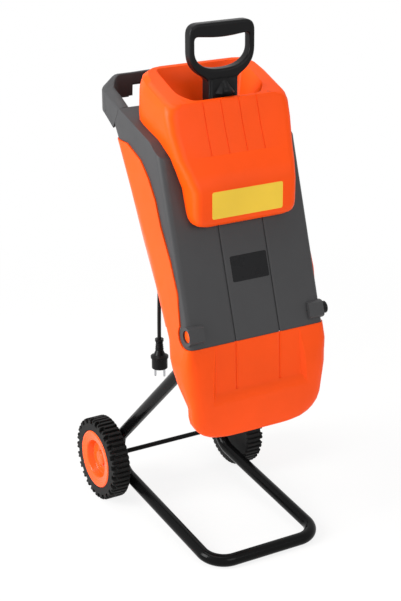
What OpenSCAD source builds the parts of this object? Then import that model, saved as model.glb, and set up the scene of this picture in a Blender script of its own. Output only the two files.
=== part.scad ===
// Upright electric garden shredder: leaning moulded body, tilting feed hopper, bent tube stand, two wheels.
// Millimetres. X runs to the viewer's right, -Y is the front, +Z is up and the floor is z = 0.

/* [Body shell] */
// Width across the flanks of the lower housing
body_w = 306; // [296:1:316]
// Wall of the large mouldings
wall = 3.5; // [3:0.1:4.5]
// Lean of the front cover from upright, in degrees
lean = 17.5; // [16:0.5:19]
// Height of the lower edge of the discharge hood
hood_bottom_z = 262; // [256:1:268]
// Height of the upper edge of the discharge hood
hood_top_z = 451; // [445:1:456]
// How far the hood swells forward of its upper edge
hood_swell = 13; // [6:0.5:18]
// How far the hood's sides stand out beyond the flanks
hood_bulge = 7; // [3:0.5:9]
// How far the hood's sides draw in at its lower edge
hood_draw = 14; // [10:1:18]
// Corner radius of the hood's lower edge, seen from the front
hood_corner = 48; // [36:1:54]
// Step from the flank in to the front cover
cover_step = 3; // [1:0.5:5]
// Gap along the line where the cover parts from the housing
parting_gap = 0.8; // [0.5:0.1:1.5]

/* [Hopper] */
// Width of the hopper at its widest
hopper_w = 270; // [262:1:276]
// Wall of the hopper
hopper_wall = 3; // [2.5:0.1:4]
// Width of the mouth at its back edge
mouth_w = 188; // [176:1:196]
// Inner width of the feed chute
chute_w = 88; // [84:1:92]
// Inner depth of the feed chute
chute_d = 52; // [48:1:56]

/* [Push block] */
// Width across the D-handle
plunger_w = 140; // [134:1:150]
// Height of the D-handle's top above the floor
plunger_top_z = 1028; // [1020:1:1038]
// Bar thickness of the D-handle, seen from the front
plunger_bar = 17; // [14:1:18]
// Depth of the D-handle, front to back
plunger_d = 23; // [20:1:28]
// Width of the neck below the D-handle
neck_w = 62; // [56:1:66]
// Depth of the neck
neck_d = 32; // [28:1:34]
// Width of the push block inside the chute
block_w = 74; // [68:1:78]
// Depth of the push block
block_d = 40; // [36:1:44]

/* [Stand] */
// Diameter of the stand's tube
tube_d = 25; // [22:0.5:28]
// Wall of the stand's tube
tube_wall = 1.5; // [1:0.1:2]
// How far the side tubes' middles lie inside the flanks
stand_inset = 30.3; // [28:0.1:36]
// Bend radius of the two front corners
corner_bend = 45; // [35:1:60]
// Bend radius behind the axle
rear_bend = 50; // [46:1:54]
// Rise of the side tubes towards the rear, in degrees
foot_rise = 6.5; // [5:0.5:8]
// Slope of the upper tubes, in degrees
strut_rise = 43; // [42:0.5:44]

/* [Wheels] */
// Diameter over the tyre's lugs
wheel_d = 176; // [170:1:184]
// Width of the tyre
wheel_width = 40; // [34:1:46]
// Gap between the stand's tubes and the tyres
wheel_gap = 7.3; // [5:0.1:10]
// Diameter of the axle rod
axle_d = 10; // [8:0.5:12]
// Number of lugs round the tyre
lugs = 48; // [40:1:56]
// Depth of the grooves between the lugs
lug_depth = 5; // [3:0.5:6]
// Diameter of the hub where the tyre sits
hub_d = 124; // [116:1:130]

/* [Cutting unit] */
// Diameter of the blade disc
disc_d = 160; // [150:1:164]
// Thickness of the blade disc
disc_t = 6; // [5:0.5:8]
// Diameter of the motor shaft
shaft_d = 12; // [10:0.5:14]
// Diameter of the stator
stator_d = 92; // [86:1:96]
// Length of the stator
stator_l = 70; // [60:1:80]

/* [Fits] */
// Running clearance of the axle, shaft and hinge bores, on the radius
run_fit = 0.1; // [0.05:0.01:0.1]
// Clearance between pieces of different bodies
body_gap = 0.4; // [0.3:0.1:0.8]

/* [Hidden] */
$fn = 48;
eps = 0.01;
side_cut = 400;

orange = "#f4591a";
dark_grey = "#4b4b4e";
black = "#1c1c1e";
steel = "#b9bcc0";
brass = "#c9a24a";

// Places of the main pieces
hood_top_y = -193;
hinge_y = hood_top_y + 13;
hinge_z = hood_top_z + 25;
hinge_r = 25;
hinge_pin_d = 10;
hinge_disc_d = 24;
hinge_boss_d = 36;
hinge_ear_d = 18;
hinge_ear_t = 15;
housing_top_z = 797;
rear_low_z = 424;
flank_low = [328, -177];
flank_foot_y = flank_low[1] + 4;
flank_mid = [594, -49];
flank_top = [housing_top_z, 79];
disc_y = -7;
disc_z = 478;
chamber_depth = 26;
deck_t = 4;
chamber_r = disc_d / 2 + 4;

// The shell's outline, level by level
function corner_in(h, r) = h < r ? r - sqrt(r * r - (r - h) * (r - h)) : 0;
function hood_share(z) = (hood_top_z - z) / (hood_top_z - hood_bottom_z);
function hood_out(share) = lookup(share, [
  [0, 0], [0.17, hood_bulge], [0.26, hood_bulge], [0.43, hood_bulge * 0.43], [0.63, -hood_draw * 0.46],
  [0.9, -hood_draw * 0.86], [1, -hood_draw]]);
function half_w(z) = body_w / 2 + hood_out(hood_share(z)) - corner_in(max(0, z - hood_bottom_z),
  hood_corner);
function y_front(z) = z >= hood_top_z ? hood_top_y + (z - hood_top_z) * tan(lean)
  : hood_top_y - hood_swell * sin(150 * hood_share(z));
function y_edge(z) = lookup(z, [
  [hood_bottom_z, flank_foot_y], flank_low, flank_mid, flank_top,
  [flank_top[0] + 90, flank_top[1] + 60]]);
function y_rear(z) = lookup(z, [[rear_low_z, 83], [housing_top_z, 100], [housing_top_z + 90, 158]]);
function x_rear(z) = lookup(z, [[rear_low_z, 54], [600, 98], [housing_top_z, 132]]);
function front_r(z) = lookup(z, [[hood_bottom_z + 30, 44], [hood_top_z - 60, 34], [hood_top_z, 14]]);

// A rounded corner as one smooth arc between its two sides
corner_steps = 4;
function corner(p, before, after, r) = let (
    u = (before - p) / norm(before - p), v = (after - p) / norm(after - p),
    tu = min(r, norm(before - p) * 0.48), tv = min(r, norm(after - p) * 0.48))
  [for (i = [0:corner_steps]) let (s = i / corner_steps)
    pow(1 - s, 2) * (p + u * tu) + 2 * s * (1 - s) * p + s * s * (p + v * tv)];
function rounded(outline, radii) = let (n = len(outline))
  [for (k = [0:n - 1]) each corner(outline[k], outline[(k + n - 1) % n], outline[(k + 1) % n], radii[k])];

function shell_ring(z, inset, step) = let (
    x = half_w(z) - step - inset, f = y_front(z) + inset, e = max(y_edge(z), f + 8), r = y_rear(z) - inset,
    xr = min(x_rear(z), x - 2) - inset, rf = front_r(z) - inset * 0.5)
  [for (q = rounded([[-x, f], [x, f], [x, e], [xr, r], [-xr, r], [-x, e]], [rf, rf, 14, 36, 36, 14]))
    [q[0], q[1], z]];

// A closed skin through a stack of rings that all have as many points
module loft(rings) {
  n = len(rings[0]);
  last = len(rings) - 1;
  polyhedron(
    points = [for (ring = rings) each ring],
    faces = concat(
      [[for (j = [0:n - 1]) j]],
      [[for (j = [n - 1:-1:0]) last * n + j]],
      [for (i = [0:last - 1]) for (j = [0:n - 1]) let (k = (j + 1) % n)
        each [[i * n + j, (i + 1) * n + j, (i + 1) * n + k], [i * n + j, (i + 1) * n + k, i * n + k]]]));
}

// Pieces of the side view are drawn in Y and Z and pushed out along X
module side_slab(x0, x1) {
  translate([x0, 0, 0]) rotate([90, 0, 90]) linear_extrude(x1 - x0) children();
}
module x_rod(d, x0, x1, y, z) {
  translate([x0, y, z]) rotate([0, 90, 0]) cylinder(d = d, h = x1 - x0);
}
module at_disc() {
  translate([0, disc_y, disc_z]) rotate([-lean, 0, 0]) children();
}
module plain_rect(w, d, r) {
  square([w - 2 * r, d], center = true);
  square([w, d - 2 * r], center = true);
  for (x = [-1, 1]) for (y = [-1, 1]) translate([x * (w / 2 - r), y * (d / 2 - r)]) circle(r);
}

// Side view of the line where the cover parts from the housing, from the hinge up to the rear
parting = [
  [hinge_y + 20, hinge_z + 15], [-151, 551], [-126, 608], [-91, 666], [-72, 711], [-46, 748], [-16, 776],
  [36, housing_top_z]];
module cover_zone(grow) {
  side_slab(-side_cut, side_cut) polygon(concat(
    [[-side_cut, hood_top_z - grow], [hinge_y, hood_top_z - grow]],
    [for (q = parting) [q[0] + grow * 0.8, q[1] - grow * 0.6]],
    [[side_cut, housing_top_z - grow * 0.6], [side_cut, 1100], [-side_cut, 1100]]));
  x_rod(2 * (hinge_r + grow), -side_cut, side_cut, hinge_y, hinge_z);
}

// Housing: hood, flanks and rear tub in one moulding, open below the hood and above the parting line
hood_shares = [1, 0.985, 0.955, 0.91, 0.84, 0.75, 0.63, 0.52, 0.43, 0.34, 0.26, 0.17, 0.08, 0];
housing_levels = concat(
  [for (share = hood_shares) hood_top_z - share * (hood_top_z - hood_bottom_z)],
  [500, 594, 700, housing_top_z, housing_top_z + 8]);
deck_drop = chamber_depth + disc_t;
module deck_zone() {
  at_disc() translate([-side_cut / 2, -side_cut / 2, -deck_drop - deck_t]) cube([side_cut, side_cut,
    deck_t]);
}
module below_deck() {
  at_disc() translate([-side_cut / 2, -side_cut / 2, -deck_drop - deck_t - side_cut])
    cube([side_cut, side_cut, side_cut]);
}
module behind_hood() {
  side_slab(-side_cut, side_cut) polygon([
    [y_edge(hood_bottom_z) + 14, hood_bottom_z - 20], [flank_low[1], flank_low[0]],
    [y_edge(520), 520], [side_cut, 520], [side_cut, hood_bottom_z - 20]]);
}
// A flat panel sunk into the hood's swell, with a ledge at its lower end and two shallow V-grooves
groove_x = 49;
groove_w = 10;
groove_deep = 1.8;
panel_half = 106;
panel_deep = 9;
panel_foot_z = hood_top_z - 95;
ledge_z = panel_foot_z - 14;
panel_slope = atan2(hood_top_y - y_front(panel_foot_z) - panel_deep, hood_top_z - panel_foot_z);
module hood_panel() {
  intersection() {
    side_slab(-side_cut, side_cut) polygon([
      [-side_cut, hood_top_z + 1], [hood_top_y, hood_top_z + 1], [y_front(panel_foot_z) + panel_deep,
        panel_foot_z],
      [y_front(ledge_z) - 0.5, ledge_z], [-side_cut, ledge_z]]);
    translate([0, y_front(ledge_z), ledge_z - 10]) linear_extrude(side_cut) polygon([
      [-panel_half - 30, -30], [panel_half + 30, -30], [panel_half - 30, 30], [30 - panel_half, 30]]);
  }
}
module v_groove(length) {
  linear_extrude(length) polygon([[-groove_w / 2, -eps], [-groove_w / 2, -10], [groove_w / 2, -10],
    [groove_w / 2, -eps], [0, groove_deep]]);
}
outlet_w = 170;
outlet_d = 80;
module housing_inside() {
  loft([for (z = housing_levels) shell_ring(z, wall - eps, 0)]);
}
module lower_housing() {
  color(orange) difference() {
    union() {
      difference() {
        union() {
          difference() {
            loft([for (z = housing_levels) shell_ring(z, 0, 0)]);
            difference() {
              loft([for (z = concat([hood_bottom_z - 1], housing_levels, [housing_top_z + 20]))
                shell_ring(z, wall, 0)]);
              translate([0, wall, 0]) hood_panel();
            }
            intersection() {
              below_deck();
              behind_hood();
            }
          }
          intersection() {
            union() {
              deck_zone();
              socket_blocks();
              lock_boss();
            }
            housing_inside();
          }
        }
        cover_zone(0);
      }
      hinge_ears();
    }
    strut_bores();
    hood_panel();
    for (x = [-groove_x, groove_x]) translate([x, hood_top_y, hood_top_z]) rotate([-panel_slope, 0, 0])
      translate([0, 0, panel_foot_z - hood_top_z]) v_groove(side_cut / 4);
    at_disc() {
      translate([0, 0, -deck_drop - deck_t - 1]) cylinder(d = bearing_d + 1, h = deck_t + 2);
      translate([-outlet_w / 2, -chamber_r - chamber_wall - outlet_d, -deck_drop - deck_t - 1])
        cube([outlet_w, outlet_d, deck_t + 2]);
      bell_screws(screw_d + 2 * run_fit, 0);
    }
    lock_axis() translate([0, 0, -lock_boss_l - 1]) cylinder(d = lock_screw_d + 2 * run_fit,
      h = lock_boss_l + 2);
    translate([-knob_notch / 2, y_rear(knob_notch_z) - 2 * wall, knob_notch_z])
      cube([knob_notch, side_cut / 4, side_cut / 4]);
    x_rod(hinge_pin_d + 2 * run_fit, -ear_x - hinge_ear_t - 1, -ear_x + 1, hinge_y, hinge_z);
    x_rod(hinge_pin_d + 2 * run_fit, ear_x - 1, ear_x + hinge_ear_t + 1, hinge_y, hinge_z);
  }
}

// Hinge ears: a plate beside each boss of the cover, carried back to the flank by a web
cover_half = body_w / 2 - cover_step;
hinge_boss_l = 14;
ear_x = cover_half - hinge_boss_l - hinge_ear_t;
web_near = 30;
web_far = 46;
web_low = 10;
web_high = 38;
module hinge_ears() {
  for (s = [0, 1]) mirror([s, 0, 0]) {
    side_slab(ear_x, ear_x + hinge_ear_t) {
      translate([hinge_y, hinge_z]) circle(d = hinge_ear_d);
      polygon([
        [hinge_y + 2, hinge_z + hinge_ear_d * 0.48], [hinge_y + 6, hinge_z - hinge_ear_d * 0.41],
        [hinge_y + web_far, hinge_z + web_low], [hinge_y + web_far, hinge_z + web_high],
        [hinge_y + web_near, hinge_z + web_high]]);
    }
    translate([ear_x, hinge_y + web_near, hinge_z + web_low])
      cube([body_w / 2 - wall * 0.5 - ear_x, web_far - web_near, web_high - web_low]);
  }
}
cap_inset = 6;
pin_head = 10;
module hinge_pin_left() {
  color(orange) {
    x_rod(hinge_pin_d, -cover_half + cap_inset, -ear_x - 1, hinge_y, hinge_z);
    x_rod(hinge_disc_d, -cover_half + cap_inset - 2, -cover_half + cap_inset, hinge_y, hinge_z);
  }
}
module hinge_pin_right() {
  color(black) {
    x_rod(hinge_pin_d, ear_x + 1, cover_half + pin_head, hinge_y, hinge_z);
    x_rod(hinge_disc_d, cover_half + body_gap, cover_half + pin_head, hinge_y, hinge_z);
  }
}

// Stand: the side tubes rise a little to the rear, bend up round the axle and run into the housing's sockets
stand_w = body_w - 2 * stand_inset;
stand_x = stand_w / 2;
track_w = stand_w + tube_d + 2 * (wheel_gap + wheel_width);
bar_y = -233.5;
bar_z = tube_d / 2;
axle_y = 158;
axle_z = wheel_d / 2;
foot_dir = [cos(foot_rise), sin(foot_rise)];
foot_up = [-sin(foot_rise), cos(foot_rise)];
axle_along = [axle_y - bar_y, axle_z - bar_z] * foot_dir;
axle_above = [axle_y - bar_y, axle_z - bar_z] * foot_up;
foot_l = axle_along - sqrt(max(1, pow(rear_bend, 2) - pow(axle_above - rear_bend, 2)));
bend_y = bar_y + foot_l * foot_dir[0] + rear_bend * foot_up[0];
bend_z = bar_z + foot_l * foot_dir[1] + rear_bend * foot_up[1];
bend_end = 90 - strut_rise;
strut_y = bend_y + rear_bend * cos(bend_end);
strut_z = bend_z + rear_bend * sin(bend_end);
strut_l = (hood_top_y + 27 - strut_y) / -cos(strut_rise);
socket_w = tube_d + 14;
socket_l = 50;
socket_fit = 0.15;
module strut_frame() {
  translate([stand_x, strut_y, strut_z]) rotate([90 - strut_rise, 0, 0]) children();
}
module socket_blocks() {
  for (s = [0, 1]) mirror([s, 0, 0]) strut_frame()
    translate([-socket_w / 2, -socket_w / 2, strut_l - socket_l]) cube([side_cut, socket_w, socket_l + 4]);
}
module strut_bores() {
  for (s = [0, 1]) mirror([s, 0, 0]) {
    strut_frame() translate([0, 0, strut_l - socket_l - 40])
      cylinder(d = tube_d + 2 * socket_fit, h = socket_l + 40 + socket_fit);
    frame_screw(screw_d + 2 * run_fit, 0);
  }
}
module tube_ring() {
  difference() {
    circle(d = tube_d);
    circle(d = tube_d - 2 * tube_wall);
  }
}
module foot_tube() {
  color(black) translate([0, bar_y, bar_z]) rotate([foot_rise, 0, 0]) for (s = [0, 1]) mirror([s, 0, 0]) {
    rotate([0, 90, 0]) linear_extrude(stand_x - corner_bend) tube_ring();
    translate([stand_x - corner_bend, corner_bend, 0]) rotate([0, 0, -90])
      rotate_extrude(angle = 90) translate([corner_bend, 0]) tube_ring();
    translate([stand_x, corner_bend, 0]) rotate([-90, 0, 0])
      linear_extrude(foot_l - corner_bend) tube_ring();
  }
}
module strut() {
  difference() {
    translate([stand_x, bend_y, bend_z]) rotate([90, 0, 90]) rotate([0, 0, bend_end]) mirror([0, 1, 0]) {
      rotate_extrude(angle = bend_end + 90 - foot_rise) translate([rear_bend, 0]) tube_ring();
      translate([rear_bend, 0, 0]) rotate([90, 0, 0]) linear_extrude(strut_l) tube_ring();
    }
    x_rod(axle_d + 2 * run_fit, 0, track_w, axle_y, axle_z);
    frame_screw(screw_d + 2 * run_fit, 0);
  }
}
module strut_left() { color(black) mirror([1, 0, 0]) strut(); }
module strut_right() { color(black) strut(); }
screw_d = 5;
head_d = 10;
head_t = 3.5;
module frame_screw(d, head) {
  strut_frame() translate([-socket_w / 2, 0, strut_l - socket_l / 2]) rotate([0, 90, 0]) {
    cylinder(d = d, h = socket_w - 4);
    translate([0, 0, -head_t]) cylinder(d = head > 0 ? head : d, h = head_t);
  }
}
module frame_screws() {
  color(steel) for (s = [0, 1]) mirror([s, 0, 0]) frame_screw(screw_d, head_d);
}
module axle() {
  color(black) x_rod(axle_d, -track_w / 2 + hub_dish, track_w / 2 - hub_dish, axle_y, axle_z);
}
cap_d = 34;
cap_t = 6;
cap_skin = 3;
module axle_caps() {
  color(orange) for (s = [0, 1]) mirror([s, 0, 0])
    translate([track_w / 2 - hub_dish - cap_t + cap_skin, axle_y, axle_z]) rotate([0, 90, 0]) difference() {
      rotate_extrude() polygon([[0, 0], [cap_d / 2, 0], [cap_d / 2, cap_t / 2], [cap_d / 2 - 3, cap_t - 1],
        [cap_d / 4, cap_t], [0, cap_t]]);
      translate([0, 0, -1]) cylinder(d = axle_d, h = cap_t - cap_skin + 1);
    }
}

// Wheels: a lugged tyre on a dished hub
hub_dish = 12;
lug_share = 0.58;
tyre_fit = 0.1;
tyre_web_t = 2.8;
hub_boss_d = 30;
hub_play = 0.8;
module tyre_outline() {
  pitch = 360 / lugs;
  polygon([for (i = [0:lugs - 1]) each [
    for (step = [[0, 0], [0.12, 1], [lug_share, 1], [lug_share + 0.12, 0]])
      let (a = pitch * (i + step[0]), r = wheel_d / 2 - lug_depth * (1 - step[1])) r * [cos(a), sin(a)]]]);
}
module tyre() {
  shoulder = 2.5;
  translate([track_w / 2 - wheel_width, axle_y, axle_z]) rotate([0, 90, 0]) difference() {
    intersection() {
      linear_extrude(wheel_width) tyre_outline();
      rotate_extrude() polygon([
        [0, 0], [wheel_d / 2 - shoulder, 0], [wheel_d / 2 + 0.1, shoulder],
        [wheel_d / 2 + 0.1, wheel_width - shoulder], [wheel_d / 2 - shoulder, wheel_width], [0,
          wheel_width]]);
    }
    translate([0, 0, tyre_web_t]) cylinder(d = hub_d + 2 * tyre_fit, h = wheel_width);
    translate([0, 0, -1]) cylinder(d = hub_boss_d + 4 * tyre_fit, h = wheel_width);
  }
}
hub_web_t = 5;
module hub() {
  recess_d = 74;
  inner = hub_play - wheel_gap;
  translate([track_w / 2 - wheel_width, axle_y, axle_z]) rotate([0, 90, 0]) rotate_extrude() polygon([
    [axle_d / 2 + run_fit, inner], [hub_boss_d / 2, inner], [hub_boss_d / 2,
      wheel_width - hub_dish - cap_t - hub_web_t],
    [recess_d / 2, wheel_width - hub_dish - cap_t - hub_web_t], [recess_d / 2 + 6,
      wheel_width - hub_web_t - 3],
    [hub_d / 2 - 4, wheel_width - hub_web_t - 3], [hub_d / 2 - 4, tyre_web_t + 0.2], [hub_d / 2,
      tyre_web_t + 0.2],
    [hub_d / 2, wheel_width - 1], [hub_d / 2 - 3, wheel_width + 1], [recess_d / 2 + 4, wheel_width - 2],
    [recess_d / 2 - 2, wheel_width - hub_dish - cap_t + 2.6 - body_gap - 0.2],
    [axle_d / 2 + run_fit, wheel_width - hub_dish - cap_t + 2.6 - body_gap - 0.2]]);
}
module tyre_left() { color(black) mirror([1, 0, 0]) tyre(); }
module tyre_right() { color(black) tyre(); }
module hub_left() { color(orange) mirror([1, 0, 0]) hub(); }
module hub_right() { color(orange) hub(); }

// Cutting chamber, blade disc and motor, all on the leaning shaft
chamber_wall = 4;
chamber_top = 14;
throat_w = 120;
module blade_chamber() {
  color(steel) at_disc() difference() {
    translate([0, 0, -deck_drop]) cylinder(r = chamber_r + chamber_wall, h = deck_drop + chamber_top);
    translate([0, 0, -deck_drop - 1]) cylinder(r = chamber_r, h = deck_drop + chamber_top + 2);
    translate([-throat_w / 2, -chamber_r - side_cut / 2, -deck_drop - 1]) cube([throat_w,
      side_cut / 2, deck_drop]);
  }
}
module blade_disc() {
  color(steel) at_disc() difference() {
    cylinder(d = disc_d, h = disc_t);
    translate([0, 0, -1]) cylinder(d = shaft_d, h = disc_t + 2);
    for (a = [0, 180]) rotate([0, 0, a]) translate([disc_d * 0.17, 7, -1]) cube([disc_d * 0.27, 9,
      disc_t + 2]);
    blade_places() translate([0, 0, -1]) cylinder(d = screw_d + 2 * run_fit, h = disc_t + 2);
  }
}
blade_l = 46;
blade_w = 28;
blade_t = 4;
module blade_places() {
  for (a = [0, 180]) rotate([0, 0, a]) for (x = [0.36, 0.64])
    translate([disc_d * 0.16 + blade_l * x, -8, 0]) children();
}
module blades() {
  color(steel) at_disc() difference() {
    for (a = [0, 180]) rotate([0, 0, a]) translate([disc_d * 0.16, -8 - blade_w / 2, disc_t])
      rotate([90, 0, 90]) linear_extrude(blade_l)
        polygon([[0, 0], [blade_w - 6, 0], [blade_w, blade_t], [6, blade_t]]);
    blade_places() cylinder(d = screw_d + 2 * run_fit, h = disc_t + blade_t + 1);
  }
}
module blade_screws() {
  color(dark_grey) at_disc() blade_places() {
    cylinder(d = screw_d, h = disc_t + blade_t);
    translate([0, 0, disc_t + blade_t]) cylinder(d = head_d - 1, h = 2.5);
  }
}
nut_t = 6;
module disc_nut() {
  color(steel) at_disc() difference() {
    union() {
      translate([0, 0, disc_t]) cylinder(d = shaft_d + 14, h = 2);
      translate([0, 0, disc_t + 2]) cylinder(d = shaft_d + 8, h = nut_t, $fn = 6);
    }
    cylinder(d = shaft_d, h = side_cut);
  }
}
// Levels down the shaft, below the disc
bell_r = stator_d / 2 + 10;
bell_wall = 3;
bell_top = -deck_drop - deck_t;
bracket_t = 10;
fan_top = bell_top - bracket_t - 8;
fan_t = 10;
stator_top = fan_top - fan_t - 8;
comm_top = stator_top - stator_l - 10;
comm_l = 18;
bell_bottom = comm_top - comm_l - 34;
bearing_d = 32;
bearing_t = 10;
flange_w = 9;
module bell_screws(d, head) {
  for (a = [45:90:315]) rotate([0, 0, a]) translate([bell_r + flange_w / 2, 0, bell_top - 4]) {
    cylinder(d = d, h = 4 + deck_t + 2);
    if (head > 0) translate([0, 0, -head_t]) cylinder(d = head, h = head_t);
  }
}
module motor_screws() { color(steel) at_disc() bell_screws(screw_d, head_d - 1.5); }
module motor_bell() {
  vents = 16;
  color(black) at_disc() difference() {
    union() {
      rotate_extrude() polygon([
        [0, bell_bottom], [bell_r - 12, bell_bottom], [bell_r, bell_bottom + 12], [bell_r, bell_top - 4],
        [bell_r + flange_w + 1, bell_top - 4], [bell_r + flange_w + 1, bell_top],
          [bell_r - bell_wall, bell_top],
        [bell_r - bell_wall, bell_bottom + 13], [bell_r - 13, bell_bottom + bell_wall],
        [bearing_d / 2 + 4, bell_bottom + bell_wall], [bearing_d / 2 + 4,
          bell_bottom + bell_wall + bearing_t],
        [bearing_d / 2, bell_bottom + bell_wall + bearing_t], [bearing_d / 2, bell_bottom + bell_wall],
        [0, bell_bottom + bell_wall]]);
      for (a = [0:90:270]) rotate([0, 0, a])
        translate([stator_d / 2 + tyre_fit, -5, stator_top - stator_l])
          cube([bell_r - stator_d / 2 - 1, 10, stator_l]);
    }
    for (i = [0:vents - 1]) rotate([0, 0, i * 360 / vents + 11.25]) translate([bell_r - 18, -3,
      bell_bottom - 1])
      cube([30, 6, 34]);
    bell_screws(screw_d + 2 * run_fit, 0);
  }
}
module motor_bracket() {
  color(steel) at_disc() difference() {
    translate([0, 0, bell_top - bracket_t]) cylinder(r = bell_r - bell_wall - tyre_fit, h = bracket_t);
    translate([0, 0, bell_top - bracket_t - 1]) cylinder(d = bearing_d, h = bracket_t + 2);
    for (a = [0:60:300]) rotate([0, 0, a]) translate([bell_r * 0.62, 0, bell_top - bracket_t - 1])
      cylinder(d = 12, h = bracket_t + 2);
  }
}
module bearing(top) {
  color(steel) at_disc() difference() {
    translate([0, 0, top - bearing_t]) cylinder(d = bearing_d, h = bearing_t);
    translate([0, 0, top - bearing_t - 1]) cylinder(d = shaft_d + 2 * run_fit, h = bearing_t + 2);
  }
}
module upper_bearing() { bearing(bell_top); }
module lower_bearing() { bearing(bell_bottom + bell_wall + bearing_t); }
module stator() {
  color(steel) at_disc() difference() {
    translate([0, 0, stator_top - stator_l]) cylinder(d = stator_d, h = stator_l);
    translate([0, 0, stator_top - stator_l - 1]) cylinder(d = armature_d + 2 * air_gap, h = stator_l + 2);
  }
}
armature_d = 54;
air_gap = 0.8;
module motor_shaft() {
  color(steel) at_disc() translate([0, 0, bell_bottom + bell_wall + 1])
    cylinder(d = shaft_d, h = disc_t + 2 + nut_t - bell_bottom - bell_wall - 1);
}
module armature() {
  slots = 12;
  color(brass) at_disc() difference() {
    translate([0, 0, stator_top - stator_l]) cylinder(d = armature_d, h = stator_l);
    translate([0, 0, stator_top - stator_l - 1]) cylinder(d = shaft_d, h = stator_l + 2);
    for (i = [0:slots - 1]) rotate([0, 0, i * 360 / slots])
      translate([armature_d / 2 - 4, -1.5, stator_top - stator_l - 1]) cube([6, 3, stator_l + 2]);
  }
}
module commutator() {
  color(brass) at_disc() difference() {
    translate([0, 0, comm_top - comm_l]) cylinder(d = 30, h = comm_l);
    translate([0, 0, comm_top - comm_l - 1]) cylinder(d = shaft_d, h = comm_l + 2);
  }
}
module cooling_fan() {
  blades = 9;
  color(dark_grey) at_disc() difference() {
    union() {
      translate([0, 0, fan_top - 2]) cylinder(d = stator_d - 6, h = 2);
      translate([0, 0, fan_top - fan_t]) cylinder(d = shaft_d + 10, h = fan_t);
      for (i = [0:blades - 1]) rotate([0, 0, i * 360 / blades])
        translate([shaft_d / 2 + 2, -1, fan_top - fan_t]) cube([stator_d / 2 - 5 - shaft_d / 2, 2,
          fan_t - 1]);
    }
    translate([0, 0, fan_top - fan_t - 1]) cylinder(d = shaft_d, h = fan_t + 2);
  }
}

// Front cover: front wall, side bands, shoulder ledge and the rear wall that carries the handle
shoulder_front_z = housing_top_z - 25;
seam_low = [100, 808];
seam_high = [72, 857];
ledge_front = [-85, 793];
ledge_knee = [-48, 819];
module under_shoulder(inset) {
  side_slab(-side_cut, side_cut) polygon([
    [-side_cut, 300], [-side_cut, shoulder_front_z - inset], [y_front(shoulder_front_z) + inset,
      shoulder_front_z - inset],
    [ledge_front[0] + inset * 0.6, ledge_front[1] - inset], [ledge_knee[0] + inset * 0.4,
      ledge_knee[1] - inset], [seam_high[0] - inset * 0.7, seam_high[1] - inset],
    [seam_low[0] - inset, seam_low[1]], [seam_low[0] - inset, 300]]);
}
cover_levels = [hood_top_z, 500, 594, 700, housing_top_z, housing_top_z + 70];
ledge_hole_w = 204;
ledge_hole_back = 13;
ear_slot_z = hinge_z + hinge_boss_d;
// Hinge bosses, cut off flat in front as raised pads
pad_rise = 12;
module cover_boss(d) {
  for (s = [0, 1]) mirror([s, 0, 0]) difference() {
    x_rod(d, ear_x - 4, cover_half, hinge_y, hinge_z);
    translate([0, hood_top_y, hood_top_z]) rotate([-lean, 0, 0])
      translate([-side_cut, -pad_rise - side_cut, -side_cut / 2]) cube([2 * side_cut, side_cut, side_cut]);
  }
}
module front_cover() {
  color(dark_grey) difference() {
    union() {
      difference() {
        intersection() {
          loft([for (z = cover_levels) shell_ring(z, 0, cover_step)]);
          cover_zone(-parting_gap);
          under_shoulder(0);
        }
        intersection() {
          loft([for (z = cover_levels) shell_ring(z, wall, cover_step)]);
          under_shoulder(wall);
        }
      }
      cover_boss(hinge_boss_d);
    }
    handle_screw_places() translate([0, 0, -2 * wall]) cylinder(d = screw_d + 2 * run_fit, h = 3 * wall);
    x_rod(hinge_disc_d + 2 * body_gap, -cover_half - 1, -cover_half + cap_inset + body_gap, hinge_y,
      hinge_z);
    translate([-ledge_hole_w / 2, y_front(shoulder_front_z) + wall + 1, shoulder_front_z - 6])
      cube([ledge_hole_w, ledge_hole_back - y_front(shoulder_front_z) - wall - 1, side_cut]);
    for (s = [0, 1]) mirror([s, 0, 0]) {
      x_rod(hinge_pin_d + 2 * run_fit, ear_x - 5, cover_half + 1, hinge_y, hinge_z);
      x_rod(hinge_ear_d + 2 * body_gap + 2, ear_x - body_gap, ear_x + hinge_ear_t + body_gap,
        hinge_y, hinge_z);
      side_slab(ear_x - body_gap, ear_x + hinge_ear_t + body_gap) polygon([
        [y_front(hood_top_z) + wall, hood_top_z - 6], [y_front(ear_slot_z) + wall, ear_slot_z],
        [hinge_y + hinge_boss_d, ear_slot_z], [hinge_y + hinge_boss_d, hood_top_z - 6]]);
      translate([groove_x, hood_top_y, hood_top_z]) rotate([-lean, 0, 0]) translate([0, 0, -10])
        v_groove(side_cut);
    }
  }
}

// Hopper: a swollen cap over the cover's shoulder, with a rolled rim and a funnel inside
// Each station: level at the middle, tilt, front, back, change of half width, front and back corner radius
hopper_mid_y = -32;
hopper_stations = [
  [668, 0, -143, 46, -45, 12, 24], [672, 0, -148, 47, -33, 13, 25], [676, 0, -150.5, 47, -28.5, 14, 26],
  [684, 0, -153, 48, -25, 16, 28], [694, 0, -153, 49, -23.5, 16, 29], [738, 0, -153, 50, -22.5, 17, 32],
  [768, 0, -137, 50, -15, 18, 36], [796, 0.02, -120, 50, -8, 20, 38], [850, 0.16, -102, 48, -1, 22, 42],
  [886, 0.3, -93, 46, -1, 22, 44], [902, 0.38, -89, 42, -6, 20, 44], [910, 0.39, -84, 36, -16, 18, 40]];
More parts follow.
